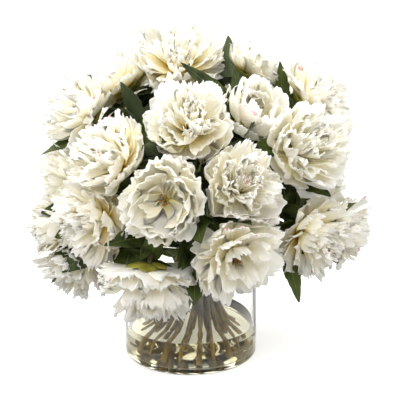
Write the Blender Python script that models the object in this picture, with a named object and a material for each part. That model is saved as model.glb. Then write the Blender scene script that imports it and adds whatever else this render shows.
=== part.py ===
"""Double peonies standing in a round glass vase with a little water.

Metres, +Z up.  The origin is the centre of the vase's underside, the front is -Y.
"""

import math

import bmesh
import bpy
import numpy as np
from mathutils import Vector
from mathutils.geometry import closest_point_on_tri

# Vase: a straight glass cylinder, as wide as it is tall
VASE_RADIUS = 0.100
VASE_HEIGHT = 0.200
VASE_WALL = 0.004
VASE_FLOOR = 0.010
VASE_HEEL = 0.008
VASE_SIDES = 48

WATER_LEVEL = 0.050

# Stems: straight from their feet through a narrow waist, as in a hand-tied spiral
STEM_RADIUS = 0.0026
TWIG_RADIUS = 0.0020
STEM_SIDES = 8
STEM_BENDS = 8
STEM_FORK = 3
FOOT_HEIGHT = 0.0125
WAIST_HEIGHT = 0.130
STRAIGHT_TOP = 0.180
OUTER_RING = {"count": 10, "waist": 0.022, "foot": 0.078, "turn": -64.0}
INNER_RING = {"count": 4, "waist": 0.009, "foot": 0.046, "turn": -60.0}

# Blooms: a dome of petals over a shallow back
DOME_SHARE = 0.68
BACK_SHARE = 0.48
BLOOM_SIDES = 14
BLOOM_RINGS = 7
PETAL_LOBES = 7
LOBE_DEPTH = 0.05
BLOOM_SPACE = 0.0016

LEAF_THICKNESS = 0.0012
LEAF_STATIONS = 9
PETIOLE_SHARE = 0.25
PETIOLE_WIDTH = 0.0032
LEAF_FOLD = 0.10
LEAF_ARCH = 0.06
LONGEST_LEAFY_RUN = 0.05  # a leaf never springs from a straight run longer than this

CLEARANCE = 0.0005
MM = 0.001

# How far the ways through the water reach below and above a stem's foot
WAY_BELOW = 0.02
WAY_ABOVE = 0.08

# The blooms stand round a heart on the vase's axis.  A place is a turn and a lift seen from the
# heart, in degrees with -90 to the front, and a reach in mm.
HEART_HEIGHT = 0.280

BLOOM_SIZES = {"small": 0.055, "middle": 0.062, "large": 0.067}

# Each stem carries two blooms.  A bloom is its place, the way it faces (turn and lift) and its size.
OUTER_STEMS = [
    [((10, -10, 200), (15, 15), "small"), ((0, -20, 250), (-5, -15), "small")],
    [((10, 30, 225), (10, 30), "middle"), ((45, 20, 195), (45, 30), "large")],
    [((35, -10, 215), (30, 0), "large"), ((65, -25, 215), (65, -20), "large")],
    [((90, 5, 185), (90, 15), "large"), ((115, -25, 210), (115, -20), "large")],
    [((130, 20, 180), (130, 35), "large"), ((150, -10, 195), (150, 5), "large")],
    [((-175, 0, 185), (180, 10), "small"), ((-170, -20, 215), (-170, -10), "small")],
    [((-140, -10, 190), (-135, 5), "middle"), ((-165, -35, 225), (-155, -35), "small")],
    [((-100, 5, 195), (-95, 10), "large"), ((-110, -35, 210), (-110, -80), "large")],
    [((-65, 10, 175), (-70, 30), "middle"), ((-70, -20, 210), (-70, -10), "large")],
    [((-30, 20, 205), (-50, 25), "large"), ((-25, -20, 215), (-30, -15), "middle")],
]
INNER_STEMS = [
    [((-30, 45, 155), (-55, 50), "middle"), ((35, 55, 195), (40, 50), "small")],
    [((125, 80, 185), (-90, 70), "large"), ((85, 45, 180), (90, 50), "middle")],
    [((180, 30, 195), (-175, 30), "middle"), ((160, 50, 180), (150, 45), "small")],
    [((-90, 45, 160), (-90, 45), "large"), ((-135, 20, 180), (-145, 30), "middle")],
]

# Each leaf: the place of its tip, the place it springs from, its width (mm) and its upper side's facing
LEAVES = [
    ((-170, 10, 220), (-165, 20, 145), 22, (0, -0.4, 1)),
    ((40, 70, 210), (30, 65, 140), 26, (0, -1, 0.2)),
    ((15, 50, 210), (20, 35, 160), 22, (0.3, -1, 0.3)),
    ((-105, 75, 180), (-40, 70, 130), 24, (0, -1, 0.6)),
    ((-160, 55, 180), (-155, 45, 110), 24, (-0.4, -1, 0.3)),
    ((-55, 35, 185), (-45, 30, 110), 24, (0, -1, 0.5)),
    ((-30, 0, 225), (-40, 5, 140), 32, (0, -0.8, 0.7)),
    ((0, -10, 260), (0, -15, 180), 22, (0, -0.5, 1)),
    ((-125, -15, 210), (-110, -20, 135), 28, (0, -0.8, 0.7)),
    ((-85, -60, 160), (-85, -45, 75), 26, (0.2, -1, 0.3)),
    ((-35, -40, 245), (-35, -30, 155), 28, (0.4, -1, 0.3)),
    ((155, 35, 225), (150, 35, 140), 24, (-0.3, 0.8, 0.6)),
    ((105, 25, 215), (110, 25, 130), 26, (0, 0.6, 0.8)),
    ((65, 25, 220), (60, 20, 135), 26, (0.2, 0.6, 0.8)),
    ((60, 0, 230), (55, 0, 145), 26, (0.3, 0.7, 0.7)),
    ((125, -5, 225), (125, -10, 135), 26, (-0.3, 0.7, 0.7)),
]


def start_empty():
    for thing in list(bpy.data.objects):
        bpy.data.objects.remove(thing, do_unlink=True)


def material(name, colour, roughness, alpha=1.0):
    made = bpy.data.materials.new(name)
    made.use_nodes = True
    shader = made.node_tree.nodes["Principled BSDF"]
    shader.inputs["Base Color"].default_value = (*colour, 1.0)
    shader.inputs["Roughness"].default_value = roughness
    shader.inputs["Metallic"].default_value = 0.0
    shader.inputs["Alpha"].default_value = alpha
    return made


def make_materials():
    return {
        "glass": material("glass", (0.88, 0.92, 0.90), 0.04, 0.35),
        "water": material("water", (0.90, 0.92, 0.84), 0.03, 0.45),
        "stem": material("stem", (0.22, 0.15, 0.05), 0.60),
        "petal": material("petal", (0.90, 0.88, 0.78), 0.65),
        "leaf": material("leaf", (0.05, 0.09, 0.02), 0.50),
    }


def new_object(name, points, faces, finish, smooth_angle=40.0):
    mesh = bpy.data.meshes.new(name)
    mesh.from_pydata([tuple(p) for p in points], [], faces)
    mesh.materials.append(finish)
    mesh.shade_smooth()
    mesh.set_sharp_from_angle(angle=math.radians(smooth_angle))
    thing = bpy.data.objects.new(name, mesh)
    bpy.context.scene.collection.objects.link(thing)
    return thing


# ---- shapes turned about the vase's axis ----

def arc(centre, radius, start, end, steps):
    angles = np.radians(np.linspace(start, end, steps + 1))
    return [(centre[0] + radius * math.cos(a), centre[1] + radius * math.sin(a)) for a in angles]


def turned(name, profile, finish):
    """Turn a profile of (radius, height) that starts and ends on the axis, outer side first."""
    steps = [2 * math.pi * k / VASE_SIDES for k in range(VASE_SIDES)]
    rings = profile[1:-1]
    points = [(r * math.cos(a), r * math.sin(a), z) for r, z in rings for a in steps]
    first, last = len(points), len(points) + 1
    points += [(0, 0, profile[0][1]), (0, 0, profile[-1][1])]
    faces = []
    for k in range(VASE_SIDES):
        after = (k + 1) % VASE_SIDES
        faces.append((first, after, k))
        for ring in range(len(rings) - 1):
            low, high = ring * VASE_SIDES, (ring + 1) * VASE_SIDES
            faces.append((low + k, low + after, high + after, high + k))
        top = (len(rings) - 1) * VASE_SIDES
        faces.append((last, top + k, top + after))
    return new_object(name, points, faces, finish)


def make_vase(finish):
    inner = VASE_RADIUS - VASE_WALL
    lip = VASE_WALL / 2
    heel = arc((VASE_RADIUS - VASE_HEEL, VASE_HEEL), VASE_HEEL, -90, 0, 3)
    rim = arc((VASE_RADIUS - lip, VASE_HEIGHT - lip), lip, 0, 180, 4)
    corner = arc((inner - VASE_HEEL / 2, VASE_FLOOR + VASE_HEEL / 2), VASE_HEEL / 2, 0, -90, 2)
    profile = [(0, 0), *heel, *rim, *corner, (0, VASE_FLOOR)]
    return turned("vase", profile, finish)


def make_water(finish, stems):
    """A shallow disc of water with a clear way through it for every stem."""
    outer = VASE_RADIUS - VASE_WALL - CLEARANCE
    low = VASE_FLOOR + CLEARANCE
    round_over = VASE_HEEL / 2
    corner = arc((outer - round_over, low + round_over), round_over, -90, 0, 2)
    profile = [(0, low), *corner, (outer, WATER_LEVEL), (0, WATER_LEVEL)]
    water = turned("water", profile, finish)
    for stem in stems:
        foot, along = stem["foot"], stem["along"]
        below = foot - along * WAY_BELOW
        above = foot + along * WAY_ABOVE
        cutter = new_object("cut_" + stem["name"], *tube([below, above], [along, along],
                            [STEM_RADIUS + CLEARANCE] * 2), finish)
        cutter.hide_render = True
        cutter.display_type = "WIRE"
        cut = water.modifiers.new("way for " + stem["name"], "BOOLEAN")
        cut.operation = "DIFFERENCE"
        cut.solver = "EXACT"
        cut.object = cutter
    return water


# ---- stems ----

def tube(path, headings, radii):
    """Rings of STEM_SIDES points square to each heading, closed at both ends."""
    points, side = [], Vector((0, 0, 1)).cross(headings[0]).normalized()
    for place, heading, radius in zip(path, headings, radii):
        side = (side - heading * side.dot(heading)).normalized()
        other = heading.cross(side)
        for k in range(STEM_SIDES):
            a = 2 * math.pi * k / STEM_SIDES
            points.append(place + (side * math.cos(a) + other * math.sin(a)) * radius)
    faces = [tuple(reversed(range(STEM_SIDES)))]
    for ring in range(len(path) - 1):
        low, high = ring * STEM_SIDES, (ring + 1) * STEM_SIDES
        for k in range(STEM_SIDES):
            after = (k + 1) % STEM_SIDES
            faces.append((low + k, low + after, high + after, high + k))
    last = (len(path) - 1) * STEM_SIDES
    faces.append(tuple(last + k for k in range(STEM_SIDES)))
    return points, faces


def bend(start, leave, end, arrive, count):
    """A cubic curve from start to end with the given headings, as places and headings."""
    reach = (end - start).length
    leave, arrive = leave.normalized() * reach, arrive.normalized() * reach
    places, headings = [], []
    for t in np.linspace(0, 1, count):
        t = float(t)
        places.append(start * (2 * t**3 - 3 * t**2 + 1) + leave * (t**3 - 2 * t**2 + t)
                      + end * (3 * t**2 - 2 * t**3) + arrive * (t**3 - t**2))
        slope = (start * (6 * t**2 - 6 * t) + leave * (3 * t**2 - 4 * t + 1)
                 + end * (6 * t - 6 * t**2) + arrive * (3 * t**2 - 2 * t))
        headings.append(slope.normalized())
    return places, headings


def facing(turn, lift):
    a, e = math.radians(turn), math.radians(lift)
    return Vector((math.cos(e) * math.cos(a), math.cos(e) * math.sin(a), math.sin(e)))


def from_heart(turn, lift, reach):
    return Vector((0, 0, HEART_HEIGHT)) + facing(turn, lift) * (reach * MM)


def bloom_facts(row):
    centre, look, size = row
    out = facing(*look)
    place, radius = from_heart(*centre), BLOOM_SIZES[size]
    base = place - out * (BACK_SHARE * radius + CLEARANCE)
    return {"centre": place, "out": out, "radius": radius, "base": base}


def ruling(ring, slot):
    """The straight run of a stem: a line that passes the vase's axis at the ring's waist radius."""
    turn = math.radians(360.0 * slot / ring["count"] + ring["turn"])
    rise = WAIST_HEIGHT - FOOT_HEIGHT
    lean = math.sqrt(ring["foot"]**2 - ring["waist"]**2) / rise
    waist = Vector((ring["waist"] * math.cos(turn), ring["waist"] * math.sin(turn), WAIST_HEIGHT))
    along = Vector((-math.sin(turn) * lean, math.cos(turn) * lean, 1.0))
    foot = waist - along * rise
    top = waist + along * (STRAIGHT_TOP - WAIST_HEIGHT)
    return foot, top, along.normalized()


def make_stem(name, ring, slot, rows, finish):
    """One forked stem: a main run to its first bloom and a twig to its second."""
    main, second = [bloom_facts(row) for row in rows]
    foot, top, along = ruling(ring, slot)
    places, headings = bend(top, along, main["base"], main["out"], STEM_BENDS)
    path, turns = [foot, *places], [along, *headings]
    radii = list(np.linspace(STEM_RADIUS, TWIG_RADIUS, len(path)))
    stem = new_object(name, *tube(path, turns, radii), finish)

    fork = path[STEM_FORK]
    leave = turns[STEM_FORK] + (second["base"] - fork).normalized()
    twig_path, twig_turns = bend(fork, leave, second["base"], second["out"], STEM_BENDS)
    twig = new_object("twig_" + name, *tube(twig_path, twig_turns, [TWIG_RADIUS] * STEM_BENDS), finish)
    twig.hide_render = True
    twig.display_type = "WIRE"
    join = stem.modifiers.new("twig", "BOOLEAN")
    join.operation = "UNION"
    join.solver = "EXACT"
    join.object = twig
    centreline = path[1:] + twig_path[1:]
    return {"name": name, "thing": stem, "foot": foot, "along": along,
            "centreline": centreline, "blooms": [main, second]}


def make_stems(finish):
    stems = []
    for ring, group in ((OUTER_RING, OUTER_STEMS), (INNER_RING, INNER_STEMS)):
        for slot, rows in enumerate(group):
            name = "stem_%02d" % (len(stems) + 1)
            stems.append(make_stem(name, ring, slot, rows, finish))
    return stems


# ---- leaves ----

def nearest_on_stems(place, stems):
    """The point of a stem's centreline nearest to a place, and the stem's heading there."""
    best, heading = None, None
    for stem in stems:
        for a, b in zip(stem["centreline"], stem["centreline"][1:]):
            run = b - a
            if run.length > LONGEST_LEAFY_RUN:
                continue
            t = min(max((place - a).dot(run) / run.length_squared, 0.0), 1.0)
            spot = a + run * t
            if best is None or (spot - place).length < (best - place).length:
                best, heading = spot, run.normalized()
    return best, heading


def make_leaf(name, row, stems, finish):
    """A pointed blade folded a little along its midrib, on a short stalk beside its stem."""
    tip, root = from_heart(*row[0]), from_heart(*row[1])
    width, upper = row[2] * MM, Vector(row[3])
    spot, heading = nearest_on_stems(root, stems)
    away = tip - spot
    away = (away - heading * away.dot(heading)).normalized()
    start = spot + away * (STEM_RADIUS + PETIOLE_WIDTH / 2 + CLEARANCE)
    run = tip - start
    side = upper.cross(run).normalized()
    normal = run.cross(side).normalized()
    points = []
    for k in range(LEAF_STATIONS):
        t = k / (LEAF_STATIONS - 1)
        blade = max(t - PETIOLE_SHARE, 0.0) / (1 - PETIOLE_SHARE)
        half = max(PETIOLE_WIDTH / 2, width / 2 * math.sin(math.pi * blade**0.8))
        arch = normal * (LEAF_ARCH * run.length * math.sin(math.pi * t))
        middle = start + run * t + arch
        rise = normal * (LEAF_FOLD * (half - PETIOLE_WIDTH / 2))
        skin = normal * (LEAF_THICKNESS / 2)
        for across in (side * -half + rise, Vector(), side * half + rise):
            points.append(middle + across + skin)
            points.append(middle + across - skin)
    faces = [(0, 2, 3, 1), (2, 4, 5, 3)]
    for k in range(LEAF_STATIONS - 1):
        low, high = 6 * k, 6 * (k + 1)
        faces += [(low, high, high + 2, low + 2), (low + 2, high + 2, high + 4, low + 4)]
        faces += [(low + 3, high + 3, high + 1, low + 1), (low + 5, high + 5, high + 3, low + 3)]
        faces += [(low + 1, high + 1, high, low), (low + 4, high + 4, high + 5, low + 5)]
    last = 6 * (LEAF_STATIONS - 1)
    faces += [(last + 1, last + 3, last + 2, last), (last + 3, last + 5, last + 4, last + 2)]
    return new_object(name, points, faces, finish)


# ---- blooms ----

def triangles_of(thing):
    bpy.context.view_layer.update()
    shaped = thing.evaluated_get(bpy.context.evaluated_depsgraph_get())
    mesh = shaped.to_mesh()
    mesh.calc_loop_triangles()
    found = [[mesh.vertices[v].co.copy() for v in tri.vertices] for tri in mesh.loop_triangles]
    shaped.to_mesh_clear()
    return found


def walls_about(bloom, others, solid_triangles):
    """Flat limits that keep a bloom to its own space, as (outward direction, distance)."""
    centre, reach = bloom["centre"], bloom["radius"]
    walls = []
    for other in others:
        gap = other["centre"] - centre
        if other is bloom or gap.length > reach + other["radius"] + BLOOM_SPACE:
            continue
        share = reach / (reach + other["radius"])
        walls.append((gap.normalized(), gap.length * share - BLOOM_SPACE / 2))
    for triangle in solid_triangles:
        gap = closest_point_on_tri(centre, *triangle) - centre
        if gap.length < reach * (1 + LOBE_DEPTH) + CLEARANCE:
            walls.append((gap.normalized(), gap.length - CLEARANCE))
    return walls


def make_bloom(name, bloom, walls, finish):
    """A lobed dome whose points are drawn back inside every flat limit round it."""
    out = bloom["out"]
    side = out.orthogonal().normalized()
    other = out.cross(side)
    directions, reaches = [out], [DOME_SHARE * bloom["radius"]]
    for ring in range(1, BLOOM_RINGS):
        polar = math.pi * ring / BLOOM_RINGS
        depth = DOME_SHARE if polar <= math.pi / 2 else BACK_SHARE
        round_reach = 1 / math.hypot(math.sin(polar), math.cos(polar) / depth)
        for k in range(BLOOM_SIDES):
            a = 2 * math.pi * k / BLOOM_SIDES
            lobe = 1 + LOBE_DEPTH * math.cos(PETAL_LOBES * a) * math.sin(polar)**2
            directions.append((side * math.cos(a) + other * math.sin(a)) * math.sin(polar)
                              + out * math.cos(polar))
            reaches.append(bloom["radius"] * round_reach * lobe)
    directions.append(-out)
    reaches.append(BACK_SHARE * bloom["radius"])
    for k, direction in enumerate(directions):
        for normal, distance in walls:
            lean = direction.dot(normal)
            if lean * reaches[k] > distance:
                reaches[k] = distance / lean
    points = [bloom["centre"] + d * r for d, r in zip(directions, reaches)]
    last = len(points) - 1
    faces = []
    for k in range(BLOOM_SIDES):
        after = (k + 1) % BLOOM_SIDES
        faces.append((0, 1 + k, 1 + after))
        for ring in range(BLOOM_RINGS - 2):
            high, low = 1 + ring * BLOOM_SIDES, 1 + (ring + 1) * BLOOM_SIDES
            faces.append((high + k, low + k, low + after, high + after))
        bottom = 1 + (BLOOM_RINGS - 2) * BLOOM_SIDES
        faces.append((last, bottom + after, bottom + k))
    return new_object(name, points, faces, finish, 60.0)


def main():
    start_empty()
    finishes = make_materials()
    vase = make_vase(finishes["glass"])
    stems = make_stems(finishes["stem"])
    make_water(finishes["water"], stems)
    leaves = [make_leaf("leaf_%02d" % (k + 1), row, stems, finishes["leaf"])
              for k, row in enumerate(LEAVES)]

    blooms = [bloom for stem in stems for bloom in stem["blooms"]]
    solid_triangles = []
    for thing in [vase, *[stem["thing"] for stem in stems], *leaves]:
        solid_triangles += triangles_of(thing)
    for k, bloom in enumerate(blooms):
        walls = walls_about(bloom, blooms, solid_triangles)
        make_bloom("bloom_%02d" % (k + 1), bloom, walls, finishes["petal"])


main()
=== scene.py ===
# Double peonies in a round glass vase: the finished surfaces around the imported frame.
# Metres, +Z up, and the front of the bouquet faces -Y.
import math

import bmesh
import bpy
import numpy as np
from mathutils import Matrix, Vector


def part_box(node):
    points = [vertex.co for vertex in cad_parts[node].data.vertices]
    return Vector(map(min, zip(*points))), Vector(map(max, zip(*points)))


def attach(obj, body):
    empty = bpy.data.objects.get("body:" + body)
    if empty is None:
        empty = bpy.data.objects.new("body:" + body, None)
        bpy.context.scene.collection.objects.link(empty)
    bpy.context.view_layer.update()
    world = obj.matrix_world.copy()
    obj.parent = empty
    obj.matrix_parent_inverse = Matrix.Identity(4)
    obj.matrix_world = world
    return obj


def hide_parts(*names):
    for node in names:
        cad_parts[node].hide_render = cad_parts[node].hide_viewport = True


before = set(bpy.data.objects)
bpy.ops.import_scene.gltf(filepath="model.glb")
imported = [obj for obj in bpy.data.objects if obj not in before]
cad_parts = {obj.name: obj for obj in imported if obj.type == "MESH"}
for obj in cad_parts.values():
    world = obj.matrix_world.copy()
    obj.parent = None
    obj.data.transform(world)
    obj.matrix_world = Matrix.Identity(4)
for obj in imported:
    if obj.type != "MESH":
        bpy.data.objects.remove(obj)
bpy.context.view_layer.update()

stemNames = sorted(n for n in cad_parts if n.startswith("stem_"))
bloomNames = sorted(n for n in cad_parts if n.startswith("bloom_"))
leafNames = sorted(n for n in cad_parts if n.startswith("leaf_"))

stemSides = 8  # corners in each ring of a packed stem
oneTurn = 6.28  # radians, near enough for a random turn or phase
upwards = np.array([0.0, 0.0, 1.0])


def unit(rows):  # every row divided by its own length
    return rows / np.maximum(np.linalg.norm(rows, axis=-1, keepdims=True), 1e-9)


def cadPoints(name):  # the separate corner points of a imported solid
    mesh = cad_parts[name].data
    flat = np.empty(len(mesh.vertices) * 3)
    mesh.vertices.foreach_get("co", flat)
    return np.unique(np.round(flat.reshape(-1, 3), 5), axis=0)


def addMesh(name, points, faceBlocks, finish, tints=None, grain=None, bakeMap=None):
    # faceBlocks are integer arrays, one row a face; grain and bakeMap are (u, v) pairs per face corner
    corners = np.concatenate([block.ravel() for block in faceBlocks]).astype(np.int32)
    sizes = np.concatenate([np.full(len(block), block.shape[1]) for block in faceBlocks])
    starts = np.concatenate([[0], np.cumsum(sizes)[:-1]]).astype(np.int32)
    mesh = bpy.data.meshes.new(name)
    mesh.vertices.add(len(points))
    mesh.vertices.foreach_set("co", np.asarray(points, np.float32).ravel())
    mesh.loops.add(len(corners))
    mesh.loops.foreach_set("vertex_index", corners)
    mesh.polygons.add(len(sizes))
    mesh.polygons.foreach_set("loop_start", starts)
    mesh.polygons.foreach_set("use_smooth", np.ones(len(sizes), bool))
    mesh.update(calc_edges=True)
    for mapName, pairs in (("grain", grain), ("OFBake", bakeMap)):
        if pairs is not None:
            layer = mesh.uv_layers.new(name=mapName)
            layer.uv.foreach_set("vector", np.asarray(pairs, np.float32).ravel())
    for tintName, values in (tints or {}).items():
        field = mesh.attributes.new(tintName, "FLOAT", "POINT")
        field.data.foreach_set("value", np.asarray(values, np.float32).ravel())
    mesh.materials.append(finish)
    piece = bpy.data.objects.new(name, mesh)
    bpy.context.scene.collection.objects.link(piece)
    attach(piece, "root")
    return piece


def addSheets(name, middle, thickness, finish, tints):
    # Thin closed sheets: a middle surface [sheet, row, column] moved half its thickness both ways
    # along its normal, the two skins sewn together round the edge; tints hold one value a sheet
    count, rows, columns = middle.shape[:3]
    across, along = np.gradient(middle, axis=2), np.gradient(middle, axis=1)
    lift = unit(np.cross(across, along)) * thickness[..., None] / 2
    points = np.stack([middle + lift, middle - lift], axis=1).reshape(-1, 3)
    index = np.arange(rows * columns).reshape(rows, columns)
    square = np.stack([index[:-1, :-1], index[:-1, 1:], index[1:, 1:], index[1:, :-1]], -1).reshape(-1, 4)
    edge = np.concatenate([index[0, :-1], index[:-1, -1], index[-1, :0:-1], index[:0:-1, 0]])
    after = np.roll(edge, -1)
    skin = rows * columns
    rim = np.stack([edge, edge + skin, after + skin, after], -1)
    one = np.concatenate([square, square[:, ::-1] + skin, rim])
    faces = (one[None] + (np.arange(count) * 2 * skin)[:, None, None]).reshape(-1, 4)
    u, v = np.meshgrid(np.linspace(0, 1, columns), np.linspace(0, 1, rows))
    pair = np.stack([u, v], -1).reshape(-1, 2)
    grainOne = np.concatenate([pair, pair])[one]
    grain = np.tile(grainOne[None], (count, 1, 1, 1)).reshape(-1, 2)
    # a second map, OFBake: every skin has a square cell, and the rim is a narrow margin round the first skin
    cells = math.ceil(math.sqrt(2 * count))
    inset, margin = 0.08, 0.03
    local = inset + pair * (1 - 2 * inset)
    outer = local + margin * np.sign(np.round(pair - 0.5, 6)) * (np.abs(pair - 0.5) > 0.499)
    whereOne = np.concatenate([local[square], local[square[:, ::-1]],
                               np.stack([local[edge], outer[edge], outer[after], local[after]], 1)])
    sideOne = np.concatenate([np.zeros(len(square)), np.ones(len(square)), np.zeros(len(rim))])
    cell = (2 * np.arange(count)[:, None] + sideOne[None]).astype(int)
    corner = np.stack([cell % cells, cell // cells], -1)[:, :, None, :]
    bakeMap = ((whereOne[None] + corner) / cells).reshape(-1, 2)
    spread = {key: np.repeat(value, 2 * skin) for key, value in tints.items()}
    return addMesh(name, points, [faces], finish, spread, grain, bakeMap)


def addTubes(name, paths, radii, sides, finish):
    # Round tubes: rings [tube, ring, side] square to each path, the two ends closed with flat caps
    count, rings = paths.shape[:2]
    heading = unit(np.gradient(paths, axis=1))
    ask = np.where(np.abs(heading[..., 2:3]) < 0.9, [[[0.0, 0.0, 1.0]]], [[[1.0, 0.0, 0.0]]])
    side = unit(np.cross(ask, heading))
    other = np.cross(heading, side)
    turn = np.arange(sides) * 2 * math.pi / sides
    circle = side[:, :, None] * np.cos(turn)[:, None] + other[:, :, None] * np.sin(turn)[:, None]
    points = paths[:, :, None] + circle * radii[:, :, None, None]
    index = np.arange(rings * sides).reshape(rings, sides)
    nextSide = np.roll(index, -1, axis=1)
    wall = np.stack([index[:-1], nextSide[:-1], nextSide[1:], index[1:]], -1).reshape(-1, 4)
    shift = (np.arange(count) * rings * sides)[:, None, None]
    walls = (wall[None] + shift).reshape(-1, 4)
    caps = np.stack([index[0, ::-1], index[-1]])
    ends = (caps[None] + shift).reshape(-1, sides)
    return addMesh(name, points.reshape(-1, 3), [walls, ends], finish)


def addTurned(name, profile, sides, finish):
    # A profile of (radius, height) turned about the vase's axis; its first and last points lie on it
    radius, height = np.array(profile).T
    turn = np.arange(sides) * 2 * math.pi / sides
    body = np.stack([radius[1:-1, None] * np.cos(turn), radius[1:-1, None] * np.sin(turn),
                     np.broadcast_to(height[1:-1, None], (len(radius) - 2, sides))], -1).reshape(-1, 3)
    poles = np.array([[0, 0, height[0]], [0, 0, height[-1]]])
    index = np.arange(len(body)).reshape(-1, sides)
    nextSide = np.roll(index, -1, axis=1)
    walls = np.stack([index[:-1], nextSide[:-1], nextSide[1:], index[1:]], -1).reshape(-1, 4)
    first = np.stack([np.full(sides, len(body)), nextSide[0], index[0]], -1)
    last = np.stack([np.full(sides, len(body) + 1), index[-1], nextSide[-1]], -1)
    return addMesh(name, np.concatenate([body, poles]), [walls, first, last], finish)


def newFinish(name, settings):  # a material with some of its sockets set
    finish = bpy.data.materials.new(name)
    finish.use_nodes = True
    tree = finish.node_tree
    shader = tree.nodes["Principled BSDF"]
    for socket, value in settings.items():
        shader.inputs[socket].default_value = value
    return finish, tree, shader


def node(tree, kind, settings=None, **links):
    # a shader node with its fixed settings, and its inputs linked or filled by name
    made = tree.nodes.new("ShaderNode" + kind)
    for key, value in (settings or {}).items():
        setattr(made, key, value)
    for key, value in links.items():
        socket = made.inputs[int(key[1:])] if key[0] == "i" and key[1:].isdigit() else made.inputs[key]
        if isinstance(value, bpy.types.NodeSocket):
            tree.links.new(value, socket)
        else:
            socket.default_value = value
    return made


def blendOf(tree, kind, factor, first, second):  # a colour mix of two colours
    mix = tree.nodes.new("ShaderNodeMix")
    mix.data_type = "RGBA"
    mix.blend_type = kind
    for socket, value in ((mix.inputs[0], factor), (mix.inputs[6], first), (mix.inputs[7], second)):
        if isinstance(value, bpy.types.NodeSocket):
            tree.links.new(value, socket)
        else:
            socket.default_value = value
    return mix.outputs[2]


def rampOf(tree, source, stops):  # colours at places along a ramp
    ramp = tree.nodes.new("ShaderNodeValToRGB")
    while len(ramp.color_ramp.elements) < len(stops):
        ramp.color_ramp.elements.new(0.5)
    for element, (place, colour) in zip(ramp.color_ramp.elements, stops):
        element.position = place
        element.color = (*colour, 1.0) if len(colour) == 3 else colour
    tree.links.new(source, ramp.inputs[0])
    return ramp.outputs[0]


def mathOf(tree, operation, *values):  # one sum on sockets or plain numbers
    made = tree.nodes.new("ShaderNodeMath")
    made.operation = operation
    for socket, value in zip(made.inputs, values):
        if isinstance(value, bpy.types.NodeSocket):
            tree.links.new(value, socket)
        else:
            socket.default_value = value
    return made.outputs[0]


def bumpOf(tree, shader, height, strength, distance):  # fine relief from a height pattern
    bump = tree.nodes.new("ShaderNodeBump")
    bump.inputs["Strength"].default_value = strength
    bump.inputs["Distance"].default_value = distance
    tree.links.new(height, bump.inputs["Height"])
    tree.links.new(bump.outputs[0], shader.inputs["Normal"])


def grainParts(tree):  # the sheet's own map, as across and along
    place = node(tree, "UVMap", {"uv_map": "grain"}).outputs[0]
    split = node(tree, "SeparateXYZ", i0=place)
    return place, split.outputs[0], split.outputs[1]


def tintOf(tree, name):  # a value stored on the mesh
    return node(tree, "Attribute", {"attribute_name": name}).outputs["Fac"]


def petalFinish():
    # Cream at the root to near white at the edge, or golden at the root by the gold tint
    finish, tree, shader = newFinish("petalSilk", {
        "Roughness": 0.6, "Subsurface Weight": 1.0, "Subsurface Radius": (1.0, 1.0, 0.96),
        "Subsurface Scale": 0.005, "Sheen Weight": 0.10, "Sheen Roughness": 0.5,
        "Specular IOR Level": 0.3})
    place, _, along = grainParts(tree)
    ivory = rampOf(tree, along, [
        (0.00, (0.66, 0.58, 0.26)), (0.10, (0.84, 0.80, 0.56)), (0.24, (0.94, 0.92, 0.79)),
        (0.55, (0.97, 0.957, 0.87)), (1.00, (0.98, 0.972, 0.92))])
    golden = rampOf(tree, along, [
        (0.00, (0.50, 0.34, 0.02)), (0.16, (0.78, 0.60, 0.14)), (0.32, (0.94, 0.88, 0.60)),
        (0.60, (0.97, 0.957, 0.87)), (1.00, (0.98, 0.972, 0.92))])
    body = blendOf(tree, "MIX", tintOf(tree, "gold"), ivory, golden)
    warm = blendOf(tree, "MULTIPLY", tintOf(tree, "tone"), body, (0.995, 0.975, 0.90, 1))
    # fine veins run the petal's length
    stretch = node(tree, "Mapping", i0=place)
    stretch.inputs["Scale"].default_value = (34, 2.2, 1)
    veins = node(tree, "TexNoise", i0=stretch.outputs[0], Scale=1.0, Detail=3.0).outputs["Fac"]
    veined = blendOf(tree, "MULTIPLY", 0.5, warm,
                     rampOf(tree, veins, [(0.35, (0.93, 0.92, 0.86)), (0.6, (1, 1, 1))]))
    # a few petals carry crimson flecks near the tip
    where = node(tree, "TexCoord").outputs["Object"]
    blot = node(tree, "TexNoise", i0=where, Scale=110.0, Detail=1.0).outputs["Fac"]
    blotMask = rampOf(tree, blot, [(0.64, (0, 0, 0)), (0.70, (1, 1, 1))])
    nearTip = rampOf(tree, along, [(0.55, (0, 0, 0)), (0.80, (1, 1, 1))])
    fleckMask = mathOf(tree, "MULTIPLY", mathOf(tree, "MULTIPLY", blotMask, nearTip), tintOf(tree, "fleck"))
    colour = blendOf(tree, "MIX", fleckMask, veined, (0.78, 0.12, 0.20, 1))
    tree.links.new(colour, shader.inputs["Base Color"])
    rough = rampOf(tree, veins, [(0.3, (0.52, 0.52, 0.52)), (0.7, (0.70, 0.70, 0.70))])
    tree.links.new(rough, shader.inputs["Roughness"])
    bumpOf(tree, shader, veins, 0.4, 0.0008)
    return finish


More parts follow.
